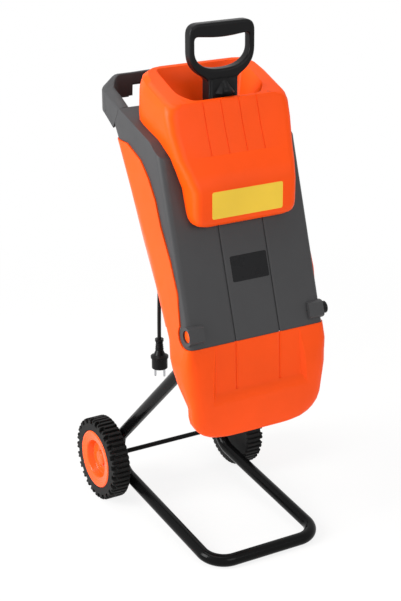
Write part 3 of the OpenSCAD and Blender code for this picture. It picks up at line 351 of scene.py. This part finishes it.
def moulded(name, colour, roughness, grain, grain_depth, shine=0.3, coat=0.0):
    """Moulded plastic: colour with a little drift, grain at the given pitch, uneven roughness."""
    drift = 0.06
    material = new_material(name)
    tint(material, noise(material, scale=7, detail=4), low=0.3, high=0.7,
         dark=[c * (1 - drift) for c in colour],
         light=[min(1, c * (1 + drift)) for c in colour])
    wear(material, noise(material, scale=35, detail=5), low=0.3, high=0.7,
         smooth=roughness - 0.04, rough=roughness + 0.05)
    emboss(material, noise(material, scale=1 / grain, detail=2), strength=0.35, depth=grain_depth)
    set_surface(material, {"Specular IOR Level": shine, "Coat Weight": coat, "Coat Roughness": 0.12})
    return material


orange_shell = moulded("orange_shell", (0.95, 0.078, 0.002), roughness=0.4, grain=0.0012,
                       grain_depth=0.00008, shine=0.16)
housing_edge = 0.0012
seam_side = 0.049
hood_middle = Vector((0, -0.1948, 0.405))
hood_lean = radians(2.2)
hood_seam = (0.0014, 0.0054, 0.097)
hood_cuts = front_cuts("hood_cuts", hood_middle, hood_lean, [(seam_side, 0, 0, hood_seam)])
housing = rounded_copy("lower_housing", "housing_shell", housing_edge, cutter=hood_cuts)
housing.data.materials.append(orange_shell)
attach(housing, "base")


# Front cover: dark grey moulding that closes the front, with its shoulder ledge and flat hinge pads.
# Finely grained, so that light spreads wide on its side bands; its seams carry on those of the hood.
grey_shell = moulded("grey_shell", (0.048, 0.048, 0.05), roughness=0.46, grain=0.0009,
                     grain_depth=0.0001, shine=0.2)
cover_edge = 0.0015
cover_lean = radians(17.5)
cover_upward = Vector((0, sin(cover_lean), cos(cover_lean)))
cover_middle = Vector((0, -0.1524, 0.5794))
cover_seam = (0.0022, 0.0058, 0.34)
hinge_along = -0.1084
pad_side = 0.1335
pad_front = 0.019
pad_size = (0.045, 0.022, 0.07)
cover_cuts = front_cuts("cover_cuts", cover_middle, cover_lean, [
    (seam_side, 0, 0, cover_seam), (pad_side, pad_front, hinge_along, pad_size)])
cover = rounded_copy("front_cover", "cover_shell", cover_edge, cutter=cover_cuts)
cover.data.materials.append(grey_shell)
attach(cover, "hopper_unit")


# Hopper: the swollen orange cap with its rolled mouth and funnel, of the same plastic as the hood.
# It sits over the cover's shoulder and is held from below by the chute's four screws.
hopper_edge = 0.002
hopper = rounded_copy("hopper", "hopper_shell", hopper_edge)
hopper.data.materials.append(orange_shell)
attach(hopper, "hopper_unit")


# Rear handle: a grey U-shaped grip with bevelled shoulders and channel arms, moulded hollow from below.
# It butts against the cover's rear wall, with one screw through each arm.
def soft_corners(outline, radii, steps=8):
    """A closed outline whose corners are swept round, each by its own reach."""
    side_share = 0.48
    line = []
    for at, reach in enumerate(radii):
        tip = Vector(outline[at])
        back = Vector(outline[at - 1]) - tip
        ahead = Vector(outline[(at + 1) % len(outline)]) - tip
        start = tip + back.normalized() * min(reach, back.length * side_share)
        end = tip + ahead.normalized() * min(reach, ahead.length * side_share)
        for step in range(steps + 1):
            share = step / steps
            line.append(start * (1 - share) ** 2 + tip * 2 * share * (1 - share) + end * share ** 2)
    return line


# Plan of the grip, its wall and the sunk panels on its sides.
grip_side = 0.150
grip_rear = 0.166
arm_width = 0.022
bar_width = 0.019
outer_turn = 0.032
inner_turn = 0.022
turn_steps = 9
flat_share = 0.42
grip_skin = 0.003
inner_roof = 1.4 * grip_skin
outer_roof = 0.4 * grip_skin
grip_corners = [0.0008, 0.003, 0.005, 0.003, 0.0008, 0.0008, 0.001, 0.001, 0.0008]
corner_steps = 4
grip_crease = 32
panel_rim = 0.005
panel_sink = 0.0008
# Solid root of each arm, at the seam with the cover's rear wall, which runs rearward going down.
seam_y = 0.0727
seam_z = 0.857
seam_run = 28 / 49
root_low = 0.8137
root_crease = 0.8565
root_top = 0.8578
root_floor = 0.002
root_end = 0.106
root_step = 0.001
# Edges of the arms, each by a point y, z on it and its rise toward the bar.
arm_low = (0.0973, root_low, 0.6)
arm_crease = (0.0734, 0.8547, 0.38)
arm_top = (0.0693, 0.8611, 0.37)
outer_gap = 0.004
inner_gap = 0.012
# Heights where the turn starts, along the bar and in its stepped window.
turn_low = 0.8355
turn_crease = 0.878
turn_top = 0.882
bar_low = 0.853
bar_inner_low = 0.859
bar_crease = 0.885
bar_top = 0.9045
crown_rise = 0.002
crown_side = 0.03
notch_side = 0.080
notch_step = 0.0005
notch_low = 0.876
notch_inner_low = 0.884


def along_arm(edge, y):
    """The height of one of the arm's edges at y."""
    edge_y, edge_z, rise = edge
    return edge_z + rise * (y - edge_y)


def between(start, end, share):
    return start + (end - start) * share


def grip_section(outer, inner, low, crease, top, hollow=True, inner_low=None, at_seam=False):
    """One ring of the grip: outer wall, bevel, flat top, inner wall and the channel below."""
    outer = Vector(outer)
    inner = Vector(inner)
    inner_low = inner_low or low
    width = (inner - outer).length
    roof_in = top - inner_roof if hollow else low + root_floor
    roof_out = crease - outer_roof if hollow else low + root_floor
    outline = [(0, low), (0, crease), (width * (1 - flat_share), top), (width, top),
               (width, inner_low), (width - grip_skin, inner_low), (width - grip_skin, roof_in),
               (grip_skin, roof_out), (grip_skin, low)]
    ring = []
    for reach, z in soft_corners(outline, grip_corners, corner_steps):
        at = outer.lerp(inner, reach / width)
        y = seam_y + (seam_z - z) * seam_run if at_seam else at.y
        ring.append(Vector((at.x, y, z)))
    return ring


inner_side = grip_side - arm_width
turn_start = grip_rear - outer_turn
grip_rings = [grip_section((-grip_side, 0), (-inner_side, 0), root_low, root_crease, root_top,
                           hollow=False, at_seam=True)]
arm_places = [(root_end, root_end, False), (root_end + root_step, root_end + root_step, True),
              (turn_start - outer_gap, turn_start - inner_gap, True)]
for outer_y, inner_y, hollow in arm_places:
    grip_rings.append(grip_section(
        (-grip_side, outer_y), (-inner_side, inner_y), along_arm(arm_low, outer_y),
        along_arm(arm_crease, outer_y), along_arm(arm_top, inner_y), hollow))
for step in range(turn_steps + 1):
    share = step / turn_steps
    rise = eased(share)
    turn = share * pi / 2
    outer_at = (-grip_side + outer_turn * (1 - cos(turn)), turn_start + outer_turn * sin(turn))
    inner_at = (-inner_side + inner_turn * (1 - cos(turn)),
                grip_rear - bar_width - inner_turn * (1 - sin(turn)))
    low = between(turn_low, bar_low, share)
    grip_rings.append(grip_section(
        outer_at, inner_at, low, between(turn_crease, bar_crease, rise),
        between(turn_top, bar_top, rise), inner_low=low + (bar_inner_low - bar_low) * rise))
bar_places = [(notch_side + notch_step, bar_low, bar_inner_low),
              (notch_side - notch_step, notch_low, notch_inner_low),
              (crown_side, notch_low, notch_inner_low)]
for bar_x, low, inner_low in bar_places:
    crown = bar_top + crown_rise * (1 - bar_x / notch_side)
    grip_rings.append(grip_section((-bar_x, grip_rear), (-bar_x, grip_rear - bar_width),
                                   low, bar_crease, crown, inner_low=inner_low))
grip_rings += [[Vector((-at.x, at.y, at.z)) for at in ring] for ring in reversed(grip_rings)]

grip_work = bmesh.new()
grip_loops = [[grip_work.verts.new(at) for at in ring] for ring in grip_rings]
panel_faces = {-1: [], 1: []}
for ring, following in zip(grip_loops, grip_loops[1:]):
    for at in range(len(ring)):
        ahead = (at + 1) % len(ring)
        side_face = grip_work.faces.new((ring[at], ring[ahead], following[ahead], following[at]))
        on_outer_wall = all(abs(abs(v.co.x) - grip_side) < weld_reach for v in side_face.verts)
        if at == corner_steps and on_outer_wall:
            panel_faces[1 if ring[0].co.x > 0 else -1].append(side_face)
grip_work.faces.new(grip_loops[0])
grip_work.faces.new(grip_loops[-1])
bmesh.ops.recalc_face_normals(grip_work, faces=grip_work.faces)
for side_faces in panel_faces.values():
    bmesh.ops.inset_region(grip_work, faces=side_faces, thickness=panel_rim, depth=-panel_sink,
                           use_even_offset=True)
handle_mesh = bpy.data.meshes.new("rear_grip")
grip_work.to_mesh(handle_mesh)
grip_work.free()
shaded(handle_mesh, grip_crease)
handle_mesh.materials.append(grey_shell)
handle = placed("rear_grip", handle_mesh)
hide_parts("rear_handle")
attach(handle, "hopper_unit")


# Push block: a near-black D-handle and hollow block in one moulding, well rounded for the hand.
# The collar round its neck moves with it and stops it on the chute.
black_moulding = moulded("black_moulding", (0.006, 0.006, 0.0065), roughness=0.34, grain=0.0008,
                         grain_depth=0.00008, shine=0.12)
push_y = -0.052
push_cut_z = 0.9235
push_depth = 0.023
push_edge = 0.005
# One half of the handle and of its window, each corner by x, z and the reach of its rounding.
push_half = [(0.070, 1.028, 0.022), (0.070, 0.960, 0.018), (0.056, 0.938, 0.018),
             (0.0305, 0.922, 0.012), (0.0305, 0.905, 0.001)]
push_outline = push_half + [(-x, z, r) for x, z, r in reversed(push_half)]
window_half = [(0, 0.998, 0.05), (0.059, 1.004, 0.009), (0.059, 0.962, 0.016), (0.030, 0.941, 0.03)]
window_outline = window_half + [(-x, z, r) for x, z, r in reversed(window_half[1:])]
push_curve = bpy.data.curves.new("push_grip", "CURVE")
push_curve.dimensions = "2D"
push_curve.fill_mode = "BOTH"
push_curve.extrude = push_depth / 2 - push_edge
push_curve.bevel_depth = push_edge
push_curve.bevel_resolution = 4
push_curve.offset = -push_edge
for outline in [push_outline, window_outline]:
    swept = soft_corners([(x, z) for x, z, r in outline], [r for x, z, r in outline])
    ring = push_curve.splines.new("POLY")
    ring.points.add(len(swept) - 1)
    ring.use_cyclic_u = True
    for spot, at in zip(ring.points, swept):
        spot.co = (at.x, at.y, 0, 1)
curve_form = placed("push_grip_form", push_curve)
handle_form_mesh = settled(curve_form)
bpy.data.objects.remove(curve_form)
upright = Matrix.Rotation(radians(90), 4, "X")
handle_form_mesh.transform(Matrix.Translation((0, push_y, 0)) @ upright)

block_work = welded("plunger")
block_cut = bmesh.ops.bisect_plane(
    block_work, geom=block_work.verts[:] + block_work.edges[:] + block_work.faces[:],
    plane_co=(0, 0, push_cut_z), plane_no=(0, 0, 1), clear_outer=True)["geom_cut"]
bmesh.ops.holes_fill(block_work, edges=[e for e in block_cut if isinstance(e, bmesh.types.BMEdge)])
block_mesh = bpy.data.meshes.new("push_neck_form")
block_work.to_mesh(block_mesh)
block_work.free()
block_form = placed("push_neck_form", block_mesh)
push_form = placed("push_form", handle_form_mesh)
joined = push_form.modifiers.new("one_moulding", "BOOLEAN")
joined.operation = "UNION"
joined.solver = "EXACT"
joined.object = block_form
push_mesh = settled(push_form)
bpy.data.objects.remove(push_form)
bpy.data.objects.remove(block_form)
push_mesh.name = "push_block"
push_mesh.materials.clear()
push_mesh.materials.append(black_moulding)
shaded(push_mesh, mould_crease)
push_block = placed("push_block", push_mesh)
push_even = push_block.modifiers.new("even_shading", "WEIGHTED_NORMAL")
push_even.keep_sharp = True
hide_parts("plunger")
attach(push_block, "push_block")


# Bare plates: a yellow foil on the hopper and a black nameplate on the cover, both left blank.
# Thin stamped sheets with rounded corners, glued flat on the mouldings.
foil_thickness = 0.0006
foil_crease = 30
rim_steps = 6
rim_share = 0.4


def foil(name, middle, upward, width, height, corner):
    """A sheet whose back lies on a moulding, level across and running upward as given."""
    across = Vector((1, 0, 0))
    out = across.cross(upward).normalized()
    work = bmesh.new()
    rim = []
    for side, end, first_turn in [(1, -1, -90), (1, 1, 0), (-1, 1, 90), (-1, -1, 180)]:
        for step in range(rim_steps + 1):
            turn = radians(first_turn + 90 * step / rim_steps)
            reach = side * (width / 2 - corner) + corner * cos(turn)
            rise = end * (height / 2 - corner) + corner * sin(turn)
            rim.append(work.verts.new(middle + across * reach + upward * rise))
    face = work.faces.new(rim)
    raised = bmesh.ops.extrude_face_region(work, geom=[face])["geom"]
    lifted = [v for v in raised if isinstance(v, bmesh.types.BMVert)]
    bmesh.ops.translate(work, verts=lifted, vec=out * foil_thickness)
    bmesh.ops.recalc_face_normals(work, faces=work.faces)
    mesh = bpy.data.meshes.new(name)
    work.to_mesh(mesh)
    work.free()
    shaded(mesh, foil_crease)
    piece = placed(name, mesh)
    soft_rim = piece.modifiers.new("soft_rim", "BEVEL")
    soft_rim.width = foil_thickness * rim_share
    soft_rim.segments = 2
    return piece


yellow_foil = moulded("yellow_foil", (0.86, 0.56, 0.03), roughness=0.35, grain=0.002,
                      grain_depth=0.00004, coat=0.3)
foil_middle = Vector((0, -0.1528, 0.710))
foil_upward = Vector((0, 0, 1))
foil_plate = foil("yellow_plate", foil_middle, foil_upward, width=0.154, height=0.052, corner=0.004)
foil_plate.data.materials.append(yellow_foil)
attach(foil_plate, "hopper_unit")

black_foil = moulded("black_foil", (0.009, 0.009, 0.01), roughness=0.3, grain=0.002,
                     grain_depth=0.00004, shine=0.1, coat=0.04)
plate_middle = cover_middle + Vector((0.0048, 0, 0))
name_plate = foil("name_plate", plate_middle, cover_upward, width=0.080, height=0.049, corner=0.003)
name_plate.data.materials.append(black_foil)
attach(name_plate, "hopper_unit")


# Stand: black powder-coated steel tube, bent cold, with the axle rod through its rear bends.
# The two struts run up into sockets of the housing, where a screw holds each.
def powder_coat(name, shade, roughness):
    """Powder coat: a fine orange peel, and a haze in its gloss."""
    material = new_material(name)
    emboss(material, noise(material, scale=420, detail=2), strength=0.18, depth=0.0002)
    wear(material, noise(material, scale=24, detail=5), low=0.3, high=0.7,
         smooth=roughness - 0.05, rough=roughness + 0.06)
    set_surface(material, {"Base Color": (shade, shade, shade * 1.05, 1), "Specular IOR Level": 0.07,
                           "Coat Weight": 0.03, "Coat Roughness": 0.08})
    return material


black_coat = powder_coat("black_coat", shade=0.003, roughness=0.2)
for tube_node, tube_name in [("foot_tube", "stand_foot"), ("strut_left", "stand_strut_left"),
                             ("strut_right", "stand_strut_right"), ("axle", "axle_rod")]:
    tube = rounded_copy(tube_node, tube_name, edge=0)
    tube.data.materials.append(black_coat)
    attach(tube, "base")


# Wheels: hard black lugged tyres with a notched shoulder, on glossy orange hubs with a dished middle.
# Both are moulded, the tyre blown and the hub solid, and caps hold them on the axle.
tyre_rubber = rubber("tyre_rubber", shade=0.011, roughness=0.55)
hub_gloss = moulded("hub_gloss", (0.92, 0.09, 0.008), roughness=0.24, grain=0.002,
                    grain_depth=0.00003, shine=0.16, coat=0.12)
tyre_edge = 0.0006
tyre_crease = 25
hub_edge = 0.0015
lug_count = 48
groove_share = 0.85
groove_turn = 2 * pi / lug_count * groove_share
notch_count = lug_count // 2
notch_wide = 0.010
notch_deep = 0.011
notch_along = 0.010


def shoulder_notches(tyre_node):
    """Blocks that cut every second tread groove deeper at the tyre's outer shoulder."""
    spots = [v.co for v in nodes[tyre_node].data.vertices]
    outer = max((v.x for v in spots), key=abs)
    low_z = min(v.z for v in spots)
    high_z = max(v.z for v in spots)
    middle_y = (min(v.y for v in spots) + max(v.y for v in spots)) / 2
    middle = Matrix.Translation((outer, middle_y, (low_z + high_z) / 2))
    tread = Matrix.Translation((0, 0, -(high_z - low_z) / 2))
    size = Matrix.Diagonal((2 * notch_along, notch_wide, 2 * notch_deep, 1))
    turns = [groove_turn + 2 * pi * at / notch_count for at in range(notch_count)]
    return boxes("notch_blocks", [middle @ Matrix.Rotation(turn, 4, "X") @ tread @ size
                                  for turn in turns])


for side in ["left", "right"]:
    tyre = rounded_copy("tyre_" + side, "tyre_shell_" + side, tyre_edge, crease=tyre_crease,
                        cutter=shoulder_notches("tyre_" + side))
    tyre.data.materials.append(tyre_rubber)
    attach(tyre, "wheel_" + side)
    hub = rounded_copy("hub_" + side, "hub_shell_" + side, hub_edge, steps=3)
    hub.data.materials.append(hub_gloss)
    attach(hub, "wheel_" + side)


# Other pieces: motor, blade disc, chute, switch box, lock, hinge pins, plug and screws.
# They keep their plain turned, stamped or moulded shapes and get their finishes.
def bare_metal(name, colour, roughness, brushed):
    """Bare metal, with brush lines stretched as given."""
    material = new_material(name)
    lines = noise(material, scale=120, detail=4, stretch=brushed)
    wear(material, lines, low=0, high=1, smooth=roughness - 0.08, rough=roughness + 0.1)
    emboss(material, lines, strength=0.1, depth=0.0001)
    set_surface(material, {"Base Color": (*colour, 1), "Metallic": 1})
    return material


ground_steel = bare_metal("ground_steel", (0.55, 0.56, 0.58), roughness=0.32, brushed=(1, 6, 1))
zinc_screw = bare_metal("zinc_screw", (0.5, 0.51, 0.53), roughness=0.36, brushed=(3, 3, 3))
copper_work = bare_metal("copper_work", (0.75, 0.36, 0.2), roughness=0.35, brushed=(1, 1, 8))
green_button = moulded("green_button", (0.02, 0.28, 0.06), roughness=0.3, grain=0.001,
                       grain_depth=0.00005, coat=0.3)
red_button = moulded("red_button", (0.5, 0.012, 0.012), roughness=0.3, grain=0.001,
                     grain_depth=0.00005, coat=0.3)
finishes = [
    (ground_steel, ["blade_chamber", "motor_bracket", "stator", "upper_bearing", "lower_bearing",
                    "motor_shaft", "blade_disc", "blades", "disc_nut", "lock_lug", "lock_screw",
                    "plug_pins"]),
    (zinc_screw, ["frame_screws", "motor_screws", "switch_screws", "blade_screws", "chute_screws",
                  "handle_screws"]),
    (copper_work, ["armature", "commutator"]),
    (black_coat, ["motor_bell"]),
    (black_moulding, ["feed_chute", "plunger_collar", "switch_box", "lock_knob", "cord_gland", "plug",
                      "reset_button", "hinge_pin_right", "cooling_fan"]),
    (orange_shell, ["hinge_pin_left"]),
    (hub_gloss, ["axle_caps"]),
    (green_button, ["start_button"]),
    (red_button, ["stop_button"])]
for finish, finished in finishes:
    for node in finished:
        nodes[node].data.materials.clear()
        nodes[node].data.materials.append(finish)
